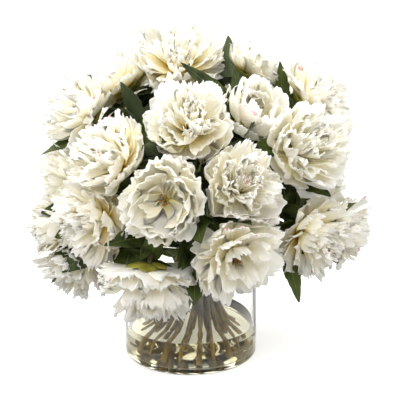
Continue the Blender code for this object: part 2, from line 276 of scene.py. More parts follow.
def leafFinish(name, dark, light, back):
    # Dark and light green by a cloud pattern, paler underneath, with a midrib and side veins
    finish, tree, shader = newFinish(name, {"Roughness": 0.5, "Specular IOR Level": 0.25})
    _, across, along = grainParts(tree)
    fromRib = mathOf(tree, "ABSOLUTE", mathOf(tree, "SUBTRACT", across, 0.5))
    # side veins leave the midrib at a slant: stripes of along minus a share of the way out
    slant = mathOf(tree, "SUBTRACT", along, mathOf(tree, "MULTIPLY", fromRib, 0.55))
    stripe = mathOf(tree, "ABSOLUTE", mathOf(tree, "SINE", mathOf(tree, "MULTIPLY", slant, 26.0)))
    vein = rampOf(tree, stripe, [(0.0, (1, 1, 1)), (0.16, (0, 0, 0))])
    rib = rampOf(tree, fromRib, [(0.012, (1, 1, 1)), (0.035, (0, 0, 0))])
    lines = mathOf(tree, "MAXIMUM", mathOf(tree, "MULTIPLY", vein, 0.45), rib)
    where = node(tree, "TexCoord").outputs["Object"]
    cloud = node(tree, "TexNoise", i0=where, Scale=55.0, Detail=4.0).outputs["Fac"]
    ground = blendOf(tree, "MIX", rampOf(tree, cloud, [(0.35, (0, 0, 0)), (0.7, (1, 1, 1))]), dark, light)
    upper = blendOf(tree, "MIX", tintOf(tree, "tone"), ground, light)
    faced = blendOf(tree, "MIX", tintOf(tree, "under"), upper, back)
    colour = blendOf(tree, "MIX", mathOf(tree, "MULTIPLY", lines, 0.45), faced, (0.17, 0.22, 0.08, 1))
    tree.links.new(colour, shader.inputs["Base Color"])
    tree.links.new(rampOf(tree, cloud, [(0.3, (0.42,) * 3), (0.7, (0.62,) * 3)]), shader.inputs["Roughness"])
    bumpOf(tree, shader, mathOf(tree, "SUBTRACT", mathOf(tree, "MULTIPLY", cloud, 0.4), lines), 0.5, 0.0006)
    return finish


def barkFinish(name, dark, light, paintedShadeAbove=None):
    # Fibres stretched up the stem and broad patches, summed, choose between dark and light
    finish, tree, shader = newFinish(name, {"Roughness": 0.6})
    where = node(tree, "TexCoord").outputs["Object"]
    stretch = node(tree, "Mapping", i0=where)
    stretch.inputs["Scale"].default_value = (420, 420, 60)
    fibre = node(tree, "TexNoise", i0=stretch.outputs[0], Scale=1.0, Detail=4.0).outputs["Fac"]
    patch = node(tree, "TexNoise", i0=where, Scale=60.0, Detail=2.0).outputs["Fac"]
    mixed = mathOf(tree, "ADD", mathOf(tree, "MULTIPLY", fibre, 0.6), mathOf(tree, "MULTIPLY", patch, 0.4))
    bare = rampOf(tree, mixed, [(0.38, dark), (0.62, light)])
    if paintedShadeAbove:  # painted shade: stems are painted darker and greyer where they leave the water
        height = node(tree, "SeparateXYZ", i0=where).outputs[2]
        above = node(tree, "MapRange", i0=height, i1=paintedShadeAbove["from"], i2=paintedShadeAbove["to"]).outputs[0]
        paintedShadeBark = rampOf(tree, mixed, [(0.38, paintedShadeAbove["dark"]), (0.62, paintedShadeAbove["light"])])
        bare = blendOf(tree, "MIX", above, bare, paintedShadeBark)
    tree.links.new(bare, shader.inputs["Base Color"])
    tree.links.new(rampOf(tree, fibre, [(0.3, (0.5,) * 3), (0.7, (0.75,) * 3)]), shader.inputs["Roughness"])
    bumpOf(tree, shader, fibre, 0.5, 0.0006)
    return finish


def clearFinish(name, colour, ior, ripple, scale):
    # Clear all through, with a slow noise that ripples and barely roughens the surface
    finish, tree, shader = newFinish(name, {
        "Base Color": (*colour, 1), "Roughness": 0.0, "IOR": ior, "Transmission Weight": 1.0})
    where = node(tree, "TexCoord").outputs["Object"]
    wave = node(tree, "TexNoise", i0=where, Scale=scale, Detail=1.0).outputs["Fac"]
    tree.links.new(rampOf(tree, wave, [(0.3, (0.0,) * 3), (0.8, (0.03,) * 3)]), shader.inputs["Roughness"])
    bumpOf(tree, shader, wave, ripple, 0.001)
    return finish


def plainFinish(name, low, high, roughness, scale):
    # Two close colours blended by a cloud pattern
    finish, tree, shader = newFinish(name, {"Roughness": roughness})
    where = node(tree, "TexCoord").outputs["Object"]
    cloud = node(tree, "TexNoise", i0=where, Scale=scale, Detail=3.0).outputs["Fac"]
    tree.links.new(rampOf(tree, cloud, [(0.35, low), (0.65, high)]), shader.inputs["Base Color"])
    bumpOf(tree, shader, cloud, 0.2, 0.0005)
    return finish


petalWhite = petalFinish()
leafGreen = leafFinish("leafGreen", (0.012, 0.021, 0.004, 1), (0.070, 0.098, 0.016, 1), (0.10, 0.13, 0.07, 1))
sepalGreen = leafFinish("sepalGreen", (0.16, 0.15, 0.02, 1), (0.34, 0.32, 0.05, 1), (0.30, 0.28, 0.06, 1))
# painted shade: the second pair of browns paints the stems darker and greyer above the water
barkBrown = barkFinish("stemBark", (0.080, 0.050, 0.004), (0.34, 0.215, 0.016), {
    "from": 0.045, "to": 0.085, "dark": (0.038, 0.029, 0.010), "light": (0.130, 0.104, 0.038)})
stalkGreen = barkFinish("stalkGreen", (0.05, 0.07, 0.02), (0.16, 0.20, 0.06))
# a low index for wall and water, so that the studio's white does not veil the stems behind
clearGlass = clearFinish("vaseGlass", (0.980, 0.988, 0.960), 1.30, 0.02, 9.0)
# the water's amber tint is partly its own colour and partly painted shade, darkening the view through it to
# the floor under the vase
waterTintAndShade = clearFinish("stillWater", (0.950, 0.910, 0.750), 1.30, 0.03, 30.0)
antherGold = plainFinish("antherGold", (0.05, 0.02, 0.01), (0.45, 0.25, 0.05), 0.6, 300.0)
floorWhite = plainFinish("floorWhite", (0.94, 0.94, 0.935), (0.96, 0.96, 0.955), 0.8, 3.0)
floorShader = floorWhite.node_tree.nodes["Principled BSDF"]
floorShader.inputs["Emission Color"].default_value = (1, 1, 1, 1)
floorShader.inputs["Emission Strength"].default_value = 0.35


# rows and columns of every petal, and its thickness in metres at the base and the tip
petalGrid = {"rows": 13, "columns": 21, "base": 0.0008, "tip": 0.0004}

# How far petals differ from their ring. In shares of the spacing: turn; of the bloom's radius: tip,
# shoulder, curl, pleatDepth, slowWave; of the value itself: belly, width; in radians: lean, roll.
# Waves, fineWaves and pleats are how many waves cross a petal; cutShare of its columns are cut in at
# the edge, by cutDepth times the ring's own split.
petalPlay = {
    "turn": 0.33, "tip": 0.075, "shoulder": 0.035, "belly": (0.88, 1.08), "width": (0.80, 1.18),
    "waves": (0.8, 1.7), "fineWaves": (2.6, 4.2), "pleats": (3.0, 4.6), "pleatDepth": 0.013,
    "curl": 0.06, "roll": 0.22, "lean": 0.16, "cutShare": 0.22, "cutDepth": (0.4, 1.2),
    "slowWave": 0.035}


# A ring of petals: how many, then places in shares of the bloom's radius as (out from its axis,
# up from its seat): belly and shoulder pull the petal's midline, tip ends it. Width, ruffle and
# tooth are shares of the radius too; cup is the bend across the petal, in radians over its width;
# split is how deeply its edge is cut, from 0 to 1.
def ring(count, belly, shoulder, tip, width, cup, ruffle, tooth, split=0.0):
    return {"count": count, "belly": belly, "shoulder": shoulder, "tip": tip, "width": width,
            "cup": cup, "ruffle": ruffle, "tooth": tooth, "split": split}


bloomForms = {
    "bowl": [
        ring(8, (0.62, -0.04), (1.02, 0.04), (1.18, 0.16), 0.92, 0.5, 0.095, 0.085, 0.5),
        ring(8, (0.62, 0.00), (1.00, 0.16), (1.14, 0.42), 0.94, 0.6, 0.095, 0.080, 0.4),
        ring(7, (0.58, 0.04), (0.98, 0.28), (1.06, 0.68), 0.98, 0.8, 0.090, 0.075, 0.3),
        ring(6, (0.50, 0.06), (0.88, 0.34), (0.95, 0.90), 1.04, 1.0, 0.085, 0.070, 0.2),
        ring(5, (0.44, 0.03), (0.76, 0.28), (0.80, 0.90), 1.10, 1.1, 0.080, 0.065, 0.1),
        ring(5, (0.34, 0.02), (0.58, 0.18), (0.60, 0.56), 0.90, 1.0, 0.075, 0.070, 0.2)],
    "star": [
        ring(7, (0.60, 0.00), (1.00, 0.02), (1.22, 0.06), 0.92, 0.5, 0.075, 0.080, 0.7),
        ring(7, (0.60, 0.02), (0.98, 0.16), (1.12, 0.38), 0.88, 0.7, 0.075, 0.070, 0.5),
        ring(7, (0.50, 0.06), (0.84, 0.30), (0.92, 0.66), 0.76, 0.9, 0.075, 0.065, 0.3),
        ring(6, (0.38, 0.10), (0.62, 0.38), (0.64, 0.82), 0.62, 1.1, 0.075, 0.060, 0.2),
        ring(5, (0.24, 0.14), (0.40, 0.42), (0.40, 0.80), 0.48, 1.3, 0.070, 0.060)],
    "full": [
        ring(6, (0.62, -0.06), (1.02, 0.08), (1.18, 0.32), 1.08, 0.6, 0.070, 0.055, 0.1),
        ring(7, (0.60, 0.00), (1.00, 0.24), (1.08, 0.62), 0.94, 0.8, 0.080, 0.060, 0.2),
        ring(9, (0.50, 0.10), (0.84, 0.46), (0.92, 0.88), 0.72, 0.9, 0.095, 0.080, 0.5),
        ring(9, (0.38, 0.20), (0.64, 0.64), (0.70, 1.04), 0.58, 0.9, 0.105, 0.085, 0.6),
        ring(8, (0.25, 0.25), (0.42, 0.74), (0.46, 1.12), 0.48, 1.0, 0.105, 0.085, 0.6),
        ring(6, (0.12, 0.30), (0.22, 0.74), (0.20, 1.13), 0.42, 1.1, 0.095, 0.080, 0.5),
        ring(3, (0.05, 0.30), (0.10, 0.66), (0.02, 1.06), 0.34, 1.2, 0.070, 0.070, 0.3)],
    "shaggy": [
        ring(7, (0.60, 0.00), (1.02, 0.06), (1.16, 0.00), 0.94, 0.5, 0.085, 0.080, 0.8),
        ring(8, (0.60, 0.06), (1.04, 0.26), (1.18, 0.34), 0.82, 0.6, 0.090, 0.085, 0.8),
        ring(9, (0.48, 0.16), (0.88, 0.52), (1.04, 0.72), 0.66, 0.7, 0.100, 0.090, 0.8),
        ring(9, (0.34, 0.24), (0.62, 0.74), (0.76, 1.00), 0.54, 0.8, 0.105, 0.095, 0.8),
        ring(8, (0.22, 0.28), (0.40, 0.78), (0.48, 1.10), 0.46, 0.9, 0.105, 0.095, 0.8),
        ring(6, (0.12, 0.30), (0.22, 0.76), (0.22, 1.12), 0.40, 1.0, 0.095, 0.090, 0.6),
        ring(3, (0.05, 0.30), (0.10, 0.66), (0.02, 1.06), 0.34, 1.2, 0.070, 0.080, 0.3)],
    "wide": [
        ring(8, (0.60, 0.02), (1.04, 0.12), (1.22, 0.10), 0.90, 0.5, 0.085, 0.085, 0.9),
        ring(9, (0.60, 0.06), (1.04, 0.28), (1.20, 0.42), 0.78, 0.6, 0.090, 0.090, 0.9),
        ring(9, (0.48, 0.14), (0.86, 0.46), (1.00, 0.70), 0.66, 0.7, 0.100, 0.095, 0.8),
        ring(9, (0.34, 0.20), (0.62, 0.60), (0.74, 0.88), 0.54, 0.8, 0.105, 0.095, 0.8),
        ring(8, (0.20, 0.22), (0.36, 0.62), (0.42, 0.94), 0.44, 0.9, 0.105, 0.095, 0.7),
        ring(5, (0.10, 0.22), (0.18, 0.58), (0.14, 0.94), 0.38, 1.1, 0.090, 0.085, 0.4)],
    "bud": [
        ring(6, (0.60, -0.04), (0.96, 0.20), (1.02, 0.70), 1.10, 1.2, 0.055, 0.050),
        ring(6, (0.56, 0.04), (0.88, 0.42), (0.82, 0.98), 0.98, 1.5, 0.055, 0.050),
        ring(6, (0.46, 0.10), (0.74, 0.52), (0.60, 1.10), 0.84, 1.7, 0.055, 0.060),
        ring(6, (0.36, 0.16), (0.56, 0.60), (0.40, 1.12), 0.66, 1.8, 0.060, 0.065),
        ring(5, (0.24, 0.20), (0.36, 0.60), (0.22, 1.06), 0.50, 1.8, 0.060, 0.070)]}

# Heart, squeeze, interleave, space, overRim and offGlass are metres; lobe is how far lobes pass the
# radius; usual and scale turn a packed bloom's radius into the petals'; middle is its share up the
# axis; near is how far apart, in shares of their radii together, two blooms press on each other.
bloomPlan = {
    "heart": (0.0, 0.0, 0.28), "squeeze": 0.010, "interleave": 0.005, "space": 0.001,
    "overRim": 0.004, "offGlass": 0.003, "lobe": 1.04, "usual": 0.97, "middle": 0.48, "near": 1.25,
    "fleckShare": {True: 0.30, False: 0.03}, "goldShare": {True: 1.0, False: 0.25},
    "forms": {"bowl": (15, 7), "star": (18, 9), "bud": (21, 4), "wide": (23, 22, 3, 26),
              "shaggy": (2, 6, 8, 11, 12, 13, 14, 16, 20, 25)},
    "scale": {15: 0.84, 16: 0.95, 17: 0.90, 18: 0.93, 19: 0.95, 20: 0.94, 21: 0.93,
              25: 1.04, 27: 0.88, 28: 0.92},
    "stamens": (15, 18, 7, 9), "flecked": (12, 14, 17, 20, 21, 2, 10, 6, 28, 16),
    "golden": (3, 20, 22, 23, 26, 28, 27, 13), "seed": 41}


def bloomSeat(name, number):
    # where the bloom sits on its stem: the ring of corners that ends the nearest stem
    points = cadPoints(name)
    middle = (points.min(0) + points.max(0)) / 2
    ringPoints = stemCorners[np.argsort(np.linalg.norm(stemCorners - middle, axis=1))[:stemSides]]
    seat = ringPoints.mean(0)
    axis = np.linalg.svd(ringPoints - seat)[2][2]
    axis = axis * np.sign(axis @ (middle - seat))
    fromSeat = points - seat
    reach = np.linalg.norm(fromSeat - np.outer(fromSeat @ axis, axis), axis=1).max()
    radius = reach / bloomPlan["lobe"] * bloomPlan["scale"].get(number, bloomPlan["usual"])
    return {"name": name, "seat": seat, "axis": axis, "radius": radius,
            "middle": seat + axis * bloomPlan["middle"] * radius}


def growPetals(rings, radius, rng):
    # Each petal: a cubic midline in its own upright plane, bent into an arc across,
    # with sine ruffles that grow towards the edge and a torn edge of random teeth
    rows, columns = petalGrid["rows"], petalGrid["columns"]
    count = sum(r["count"] for r in rings)
    pick = np.repeat(np.arange(len(rings)), [r["count"] for r in rings])
    order = np.concatenate([np.arange(r["count"]) for r in rings])
    number = np.array([r["count"] for r in rings])[pick]
    wide, cup, ruffle, tooth, split = (np.array([r[key] for r in rings])[pick]
                                       for key in ("width", "cup", "ruffle", "tooth", "split"))
    stray = rng.uniform(-petalPlay["turn"], petalPlay["turn"], count)
    azimuth = 2 * math.pi * (order + 0.5 * pick + stray) / number
    belly, shoulder, tip = (np.array([r[key] for r in rings])[pick] for key in ("belly", "shoulder", "tip"))
    tip = tip + rng.normal(0, petalPlay["tip"], tip.shape)
    shoulder = shoulder + rng.normal(0, petalPlay["shoulder"], tip.shape)
    root = np.stack([np.full(count, 0.05), 0.02 + 0.16 * pick / len(rings)], -1)
    belly = belly * rng.uniform(*petalPlay["belly"], (count, 1))
    guides = np.stack([root, belly, shoulder, tip], 1) * radius
    wide = wide * radius * rng.uniform(*petalPlay["width"], count)

    v = 1 - (1 - np.linspace(0, 1, rows))**1.25
    u = np.linspace(-1, 1, columns)
    w = 1 - v
    cubic = np.stack([w**3, 3 * w**2 * v, 3 * w * v**2, v**3], -1)
    slope = np.stack([-3 * w**2, 3 * w**2 - 6 * w * v, 6 * w * v - 3 * v**2, 3 * v**2], -1)
    spine = np.einsum("rk,nkd->nrd", cubic, guides)
    heading = unit(np.einsum("rk,nkd->nrd", slope, guides))

    belt = (0.38 + 0.62 * np.sin(np.minimum(v / 0.72, 1) * math.pi / 2)**1.2)
    belt = belt * (1 - 0.20 * np.clip((v - 0.72) / 0.28, 0, 1)**2)
    x = wide[:, None, None] / 2 * belt[None, :, None] * u
    bend = cup[:, None, None] / wide[:, None, None]
    sideways = np.sin(x * bend) / bend
    height = (1 - np.cos(x * bend)) / bend

    swell = v[None, :, None]**2.2 * (0.35 + 0.65 * np.abs(u))
    waves = rng.uniform(*petalPlay["waves"], (count, 1, 1))
    phase = rng.uniform(0, oneTurn, (count, 1, 1))
    fine = rng.uniform(*petalPlay["fineWaves"], (count, 1, 1))
    finePhase = rng.uniform(0, oneTurn, (count, 1, 1))
    size = radius * ruffle[:, None, None]
    height = height + size * swell * np.sin(math.pi * waves * u + phase + 2.0 * v[None, :, None])
    height = height + 0.42 * size * v[None, :, None]**5 * np.sin(math.pi * fine * u + finePhase)
    sideways = sideways + 0.5 * size * swell * np.sin(math.pi * 0.8 * u + 1.3 * phase)
    pleats = rng.uniform(*petalPlay["pleats"], (count, 1, 1))
    pleatPhase = rng.uniform(0, oneTurn, (count, 1, 1))
    height = height + petalPlay["pleatDepth"] * radius * v[None, :, None] * np.sin(
        math.pi * pleats * u + pleatPhase + 2.5 * v[None, :, None])
    curl = rng.normal(0, petalPlay["curl"], (count, 1, 1)) * radius
    height = height + curl * v[None, :, None]**4
    roll = rng.normal(0, petalPlay["roll"], (count, 1, 1)) * v[None, :, None]
    sideways, height = (sideways * np.cos(roll) - height * np.sin(roll),
                        sideways * np.sin(roll) + height * np.cos(roll))

    ragged = rng.uniform(-1, 1, (count, 1, columns))
    ragged = 0.7 * ragged + 0.3 * np.roll(ragged, 1, axis=2)
    cut = rng.uniform(0, 1, (count, 1, columns)) < petalPlay["cutShare"]
    cut = cut * rng.uniform(*petalPlay["cutDepth"], (count, 1, columns))
    stretch = radius * tooth[:, None, None] * ragged * v[None, :, None]**7
    stretch = stretch - 0.20 * radius * split[:, None, None] * cut * v[None, :, None]**4
    stretch = stretch - 0.16 * wide[:, None, None] * np.abs(u)**2.6 * v[None, :, None]**3

    lean = rng.normal(0, petalPlay["lean"], count)
    out = np.stack([np.cos(azimuth), np.sin(azimuth), np.zeros(count)], -1)
    around = np.stack([-np.sin(azimuth), np.cos(azimuth), np.zeros(count)], -1)
    tangent = around * np.cos(lean)[:, None] + upwards * np.sin(lean)[:, None]
    rise = upwards * np.cos(lean)[:, None] - around * np.sin(lean)[:, None]

    def upright(pair):  # from (out, up) pairs to space
        return pair[..., 0:1] * out[:, None] + pair[..., 1:2] * rise[:, None]

    inward = np.stack([-heading[..., 1], heading[..., 0]], -1)
    points = (upright(spine)[:, :, None] + sideways[..., None] * tangent[:, None, None]
              + height[..., None] * upright(inward)[:, :, None]
              + stretch[..., None] * upright(heading)[:, :, None])
    # a slow wave through the whole bloom takes away its roundness
    for push in rng.normal(0, 1, (3, 2, 3)):
        swing = np.sin(points @ push[0] * 1.3 / radius + oneTurn * push[1, 0])
        points = points + petalPlay["slowWave"] * radius * swing[..., None] * push[1] * v[None, :, None, None]
    return points, v


def keepApart(points, bloom, others, rng):
    # Petals are pressed back where they would cross the plane that divides the way to a neighbour by
    # the two radii: what goes beyond the margin shrinks exponentially, and each petal has its own margin,
    squeeze = bloomPlan["squeeze"]
    for other in others:
        gap = other["middle"] - bloom["middle"]
        length = np.linalg.norm(gap)
        if other is bloom or length > bloomPlan["near"] * (bloom["radius"] + other["radius"]):
            continue
        away = gap / length
        limit = length * bloom["radius"] / (bloom["radius"] + other["radius"]) - bloomPlan["space"]
        limit = limit + rng.normal(0, bloomPlan["interleave"], (len(points), 1, 1))
        past = (points - bloom["middle"]) @ away - limit
        pressed = np.where(past > -squeeze, -squeeze * np.exp(-(past + squeeze) / squeeze), past)
        points = points - (past - pressed)[..., None] * away
    # and below the rim they are moved straight out to stand clear of the glass
    reach = np.linalg.norm(points[..., :2], axis=-1, keepdims=True)
    clear = vaseSize["radius"] + bloomPlan["offGlass"]
    inVase = (points[..., 2:] < vaseSize["height"] + bloomPlan["overRim"]) & (reach < clear)
    pushed = np.concatenate([points[..., :2] * clear / reach, points[..., 2:]], -1)
    return np.where(inVase, pushed, points)


def placeOn(points, bloom, spin):  # from the bloom's own axes to the row's
    axis = bloom["axis"]
    side = unit(np.cross(axis, [0.3, 0.2, 1.0]))
    other = np.cross(axis, side)
    first = side * math.cos(spin) + other * math.sin(spin)
    second = np.cross(axis, first)
    return bloom["seat"] + points @ np.stack([first, second, axis])


def makeBloom(bloom, number, others):
    # Petals grown on the bloom's own axes, placed, pressed back from neighbours and thinned to the tip
    rng = np.random.default_rng(bloomPlan["seed"] + number)
    form = next((key for key, members in bloomPlan["forms"].items() if number in members), "full")
    local, v = growPetals(bloomForms[form], bloom["radius"], rng)
    points = keepApart(placeOn(local, bloom, rng.uniform(0, oneTurn)), bloom, others, rng)
    count = len(points)
    thickness = petalGrid["base"] + (petalGrid["tip"] - petalGrid["base"]) * v
    thickness = np.broadcast_to(thickness[None, :, None], points.shape[:3])
    fleckShare = bloomPlan["fleckShare"][number in bloomPlan["flecked"]]
    fleck = (rng.uniform(0, 1, count) < fleckShare).astype(float)
    gold = np.full(count, bloomPlan["goldShare"][number in bloomPlan["golden"]])
    tints = {"tone": rng.uniform(0, 1, count), "fleck": fleck, "gold": gold}
    petals = addSheets("petals_%02d" % number, points, thickness, petalWhite, tints)
    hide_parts(bloom["name"])
    makeCalyx(bloom, number, rng)
    if number in bloomPlan["stamens"]:
        makeStamens(bloom, number, rng)


# Size and drop are shares of the bloom's radius, width of the sepal's size, hollow and taper of its
# half width; turn is a share of the spacing, and cupping how steeply a sepal curves up.
# The receptacle's radii (bulge) and heights above the seat are metres.
calyx = {"sepals": 5, "rows": 10, "columns": 7, "thickness": 0.0008, "turn": 0.12, "size": (0.42, 0.62),
         "drop": 0.065, "cupping": 0.26, "width": 0.42, "hollow": 0.18, "taper": 0.15, "sides": 12,
         "bulge": (0.0022, 0.0035, 0.0052, 0.0062, 0.0058, 0.0035),
         "heights": (-0.005, -0.003, 0.0, 0.003, 0.006, 0.009)}


def makeCalyx(bloom, number, rng):
    # Five sepals hug the bloom's back: a rounded midline out and up, pointed ends
    count, rows, columns = calyx["sepals"], calyx["rows"], calyx["columns"]
    radius = bloom["radius"]
    v, u = np.linspace(0, 1, rows), np.linspace(-1, 1, columns)
    stray = rng.uniform(-calyx["turn"], calyx["turn"], count)
    azimuth = 2 * math.pi * (np.arange(count) + stray) / count
    size = radius * rng.uniform(*calyx["size"], count)
    out = np.stack([np.cos(azimuth), np.sin(azimuth), np.zeros(count)], -1)[:, None, None]
    around = np.stack([-np.sin(azimuth), np.cos(azimuth), np.zeros(count)], -1)[:, None, None]
    reach = 0.002 + size[:, None] * np.sin(v * 1.15)
    rise = (-calyx["drop"] * radius + calyx["cupping"] * reach**2 / radius)[:, :, None, None]
    reach = reach[:, :, None, None]
    half = size[:, None] * calyx["width"] * np.sin(np.clip(v * 0.86 + 0.14, 0, 1) * math.pi)**0.7
    wide = (half[:, :, None] * u)[..., None]
    lift = -(calyx["hollow"] * half[:, :, None] * (1 - u**2))[..., None]
    points = out * (reach - calyx["taper"] * np.abs(wide)) + around * wide + upwards * (rise + lift)
    placed = placeOn(points, bloom, rng.uniform(0, oneTurn))
    tints = {"tone": rng.uniform(0, 1, count), "under": np.zeros(count)}
    thickness = np.full(placed.shape[:3], calyx["thickness"])
    addSheets("sepals_%02d" % number, placed, thickness, sepalGreen, tints)
    path = bloom["seat"] + bloom["axis"] * np.array(calyx["heights"])[:, None]
    bulge = np.array(calyx["bulge"])
    addTubes("receptacle_%02d" % number, path[None], bulge[None], calyx["sides"], sepalGreen)


# Height, foot and spread are shares of the bloom's radius; radii are a thread's, in metres.
stamens = {"count": 16, "sides": 6, "height": (0.40, 0.54), "foot": 0.10, "spread": 0.17,
           "radii": (0.0005, 0.0005, 0.0005, 0.0005, 0.0011, 0.0013, 0.0005)}


def makeStamens(bloom, number, rng):
    # Thin threads rise from the seat and lean out a little, each ending in a thicker anther
    count, radii = stamens["count"], np.array(stamens["radii"])
    radius = bloom["radius"]
    azimuth = rng.uniform(0, oneTurn, count)
    far = np.sqrt(rng.uniform(0.02, 1, count))
    top = radius * rng.uniform(*stamens["height"], count)
    foot = stamens["foot"] * radius
    t = np.linspace(0, 1, len(radii))
    away = (far * stamens["spread"] * radius)[:, None] * (0.35 + 0.65 * t**1.5)
    local = np.stack([away * np.cos(azimuth)[:, None], away * np.sin(azimuth)[:, None],
                      foot + (top - foot)[:, None] * t], -1)
    addTubes("stamens_%02d" % number, placeOn(local, bloom, 0.0), np.tile(radii, (count, 1)),
             stamens["sides"], antherGold)


# Full, middling and plain are rows and columns of a blade, fewer where it is seen less; tooth is how
# deep the teeth are in shares of the width, and teeth their number; arch (up) and swing (sideways)
# are shares of the length, fold a slope; sideLeaflet is the side leaflets' length and width, as shares
# of the middle one's.
leafGrid = {"full": (25, 9), "middling": (13, 5), "plain": (9, 5), "thickness": 0.0007,
            "tooth": 0.20, "teeth": 6.5, "arch": (0.08, 0.20), "swing": 0.08, "fold": (0.15, 0.35),
            "toneSpread": 0.25, "sideLeaflet": (0.62, 0.72)}


def addBlades(name, starts, headings, normals, lengths, widths, rng, tone, grid):
    # Leaf blades: a midline arched and swung by v - v squared, v being the way along, folded at the midrib,
    # with a waved edge and an outline that swells, ends in a point and carries coarse teeth
    rows, columns = leafGrid[grid]
    count = len(starts)
    v, u = np.linspace(0, 1, rows), np.linspace(-1, 1, columns)
    side = unit(np.cross(headings, normals))
    normal = np.cross(side, headings)
    outline = np.sin(math.pi * v**0.82)**0.85 * (1 - 0.12 * v)
    saw = (leafGrid["teeth"] * v + rng.uniform(0, 1, (count, 1))) % 1 - 0.5
    teeth = 1 + leafGrid["tooth"] * (1 - 0.5 * v) * saw
    half = widths[:, None] / 2 * (0.02 + outline * teeth)
    arch = rng.uniform(*leafGrid["arch"], (count, 1)) * lengths[:, None]
    swing = rng.normal(0, leafGrid["swing"], (count, 1)) * lengths[:, None]
    middle = (starts[:, None] + headings[:, None] * (lengths[:, None] * v)[..., None]
              - normal[:, None] * (arch * (v**2 - v))[..., None]
              + side[:, None] * (swing * (v**2 - v))[..., None])
    x = half[:, :, None] * u
    fold = rng.uniform(*leafGrid["fold"], (count, 1, 1)) * np.abs(x)
    wave = widths[:, None, None] * 0.05 * np.abs(u)**2 * np.sin(
        9 * v[None, :, None] + rng.uniform(0, oneTurn, (count, 1, 1)) + 1.5 * np.sign(u))
    vein = -0.0005 * np.abs(np.sin(13 * (v[None, :, None] - 0.3 * np.abs(u)))) * (np.abs(u) > 0.1)
    lift = (fold + wave + vein)[..., None]
    points = middle[:, :, None] + side[:, None, None] * x[..., None] + normal[:, None, None] * lift
    tints = {"tone": np.clip(rng.normal(tone, leafGrid["toneSpread"], count), 0, 1),
             "under": np.zeros(count)}
    thickness = np.full(points.shape[:3], leafGrid["thickness"])
    piece = addSheets(name, points, thickness, leafGreen, tints)
    paintUnderside(piece, count, rows * columns)
    return piece


def paintUnderside(piece, count, skin):  # the second skin of every blade is the paler underside
    values = np.tile(np.concatenate([np.zeros(skin), np.ones(skin)]), count)
    piece.data.attributes["under"].data.foreach_set("value", values.astype(np.float32))


def leafletFan(start, heading, normal, length, width, turn=0.75):
    # Three leaflets from one point: a long middle one and two shorter ones at the sides
    side = unit(np.cross(heading, normal))
    spread = [(0.0, 1.0, 1.0), (turn, *leafGrid["sideLeaflet"]), (-turn, *leafGrid["sideLeaflet"])]
    headings = [heading * math.cos(a) + side * math.sin(a) for a, _, _ in spread]
    return (np.repeat(start[None], 3, 0), np.array(headings), np.repeat(normal[None], 3, 0),
            np.array([length * k for _, k, _ in spread]), np.array([width * k for _, _, k in spread]))


# Fork is how far up the solid the leaflets part, length and width what they take of it, tone their lightness
# from 0 to 1; the leaves listed in paintedLitLeaves are painted lighter, painted light where they catch it.
# Radii and bow are metres.
peonyLeaf = {"fork": 0.12, "length": 0.90, "width": 1.15, "tone": 0.25, "paintedLightTone": 0.85, "paintedLitLeaves": (2,),
             "stalk": (0.0014, 0.0010), "bow": 0.003, "rings": 8, "sides": 8, "seed": 7}


def makeNamedLeaves():
    # Each packed leaf solid gives its own length, width and lie by its principal directions
    rng = np.random.default_rng(peonyLeaf["seed"])
    stalks = []
    for number, name in enumerate(leafNames, 1):
        points = cadPoints(name)
        middle = points.mean(0)
        along, across, normal = np.linalg.svd(points - middle)[2]
        reach, spread = (points - middle) @ along, np.abs((points - middle) @ across)
        base, tip = middle + along * reach.min(), middle + along * reach.max()
        if np.linalg.norm(base - bloomPlan["heart"]) > np.linalg.norm(tip - bloomPlan["heart"]):
            base, tip = tip, base
        normal = normal * (1 if normal @ (middle - bloomPlan["heart"]) > 0 else -1)
        width = 2 * spread.max()
        length = np.linalg.norm(tip - base)
        fork = base + (tip - base) * peonyLeaf["fork"]
        fan = leafletFan(fork, unit(tip - fork), normal, length * peonyLeaf["length"],
                         width * peonyLeaf["width"])
        # painted light: the leaves that catch the light are painted a lighter green than the rest
        tone = peonyLeaf["paintedLightTone"] if number in peonyLeaf["paintedLitLeaves"] else peonyLeaf["tone"]
        piece = addBlades("peonyLeaf_%02d" % number, *fan, rng, tone, "full")
        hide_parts(name)
        t = np.linspace(0, 1, peonyLeaf["rings"])[:, None]
        stalks.append(base + (fork - base) * t + normal * peonyLeaf["bow"] * np.sin(math.pi * t))
    radii = np.tile(np.linspace(*peonyLeaf["stalk"], peonyLeaf["rings"]), (len(stalks), 1))
    addTubes("leafStalks", np.array(stalks), radii, peonyLeaf["sides"], stalkGreen)


# Leaves that reach out between the blooms. Near is how far apart, in shares of their radii together,
# two blooms still count as neighbours; deep and far are shares of the way from the heart to the gap,
# where the leaves start and end; spare is added to their length, in metres, and width is a share of
# it; turn is the side leaflets' angle in radians; skirt is the height in metres below which a gap
# between two blooms also gets leaves; droop is how much of a gap's drop below the heart is added to
# its leaves' own; overRim is how high above the rim they start at least, and scatter how far their
# tips stray, in metres; tones are the darkest and lightest; stalk is its radii at stem and leaf.
sprays = {"near": 1.18, "deep": 0.66, "far": 1.05, "spare": 0.016, "width": 0.46, "turn": 0.38,
          "skirt": 0.27, "droop": 0.25, "overRim": 0.012, "scatter": 0.006, "tones": (0.0, 0.6),
          "stalk": (0.0013, 0.0009), "seed": 29}


def goldenTurns(count):  # successive turns by the golden angle, which never line up
    return np.arange(count) * math.pi * (3 - math.sqrt(5))


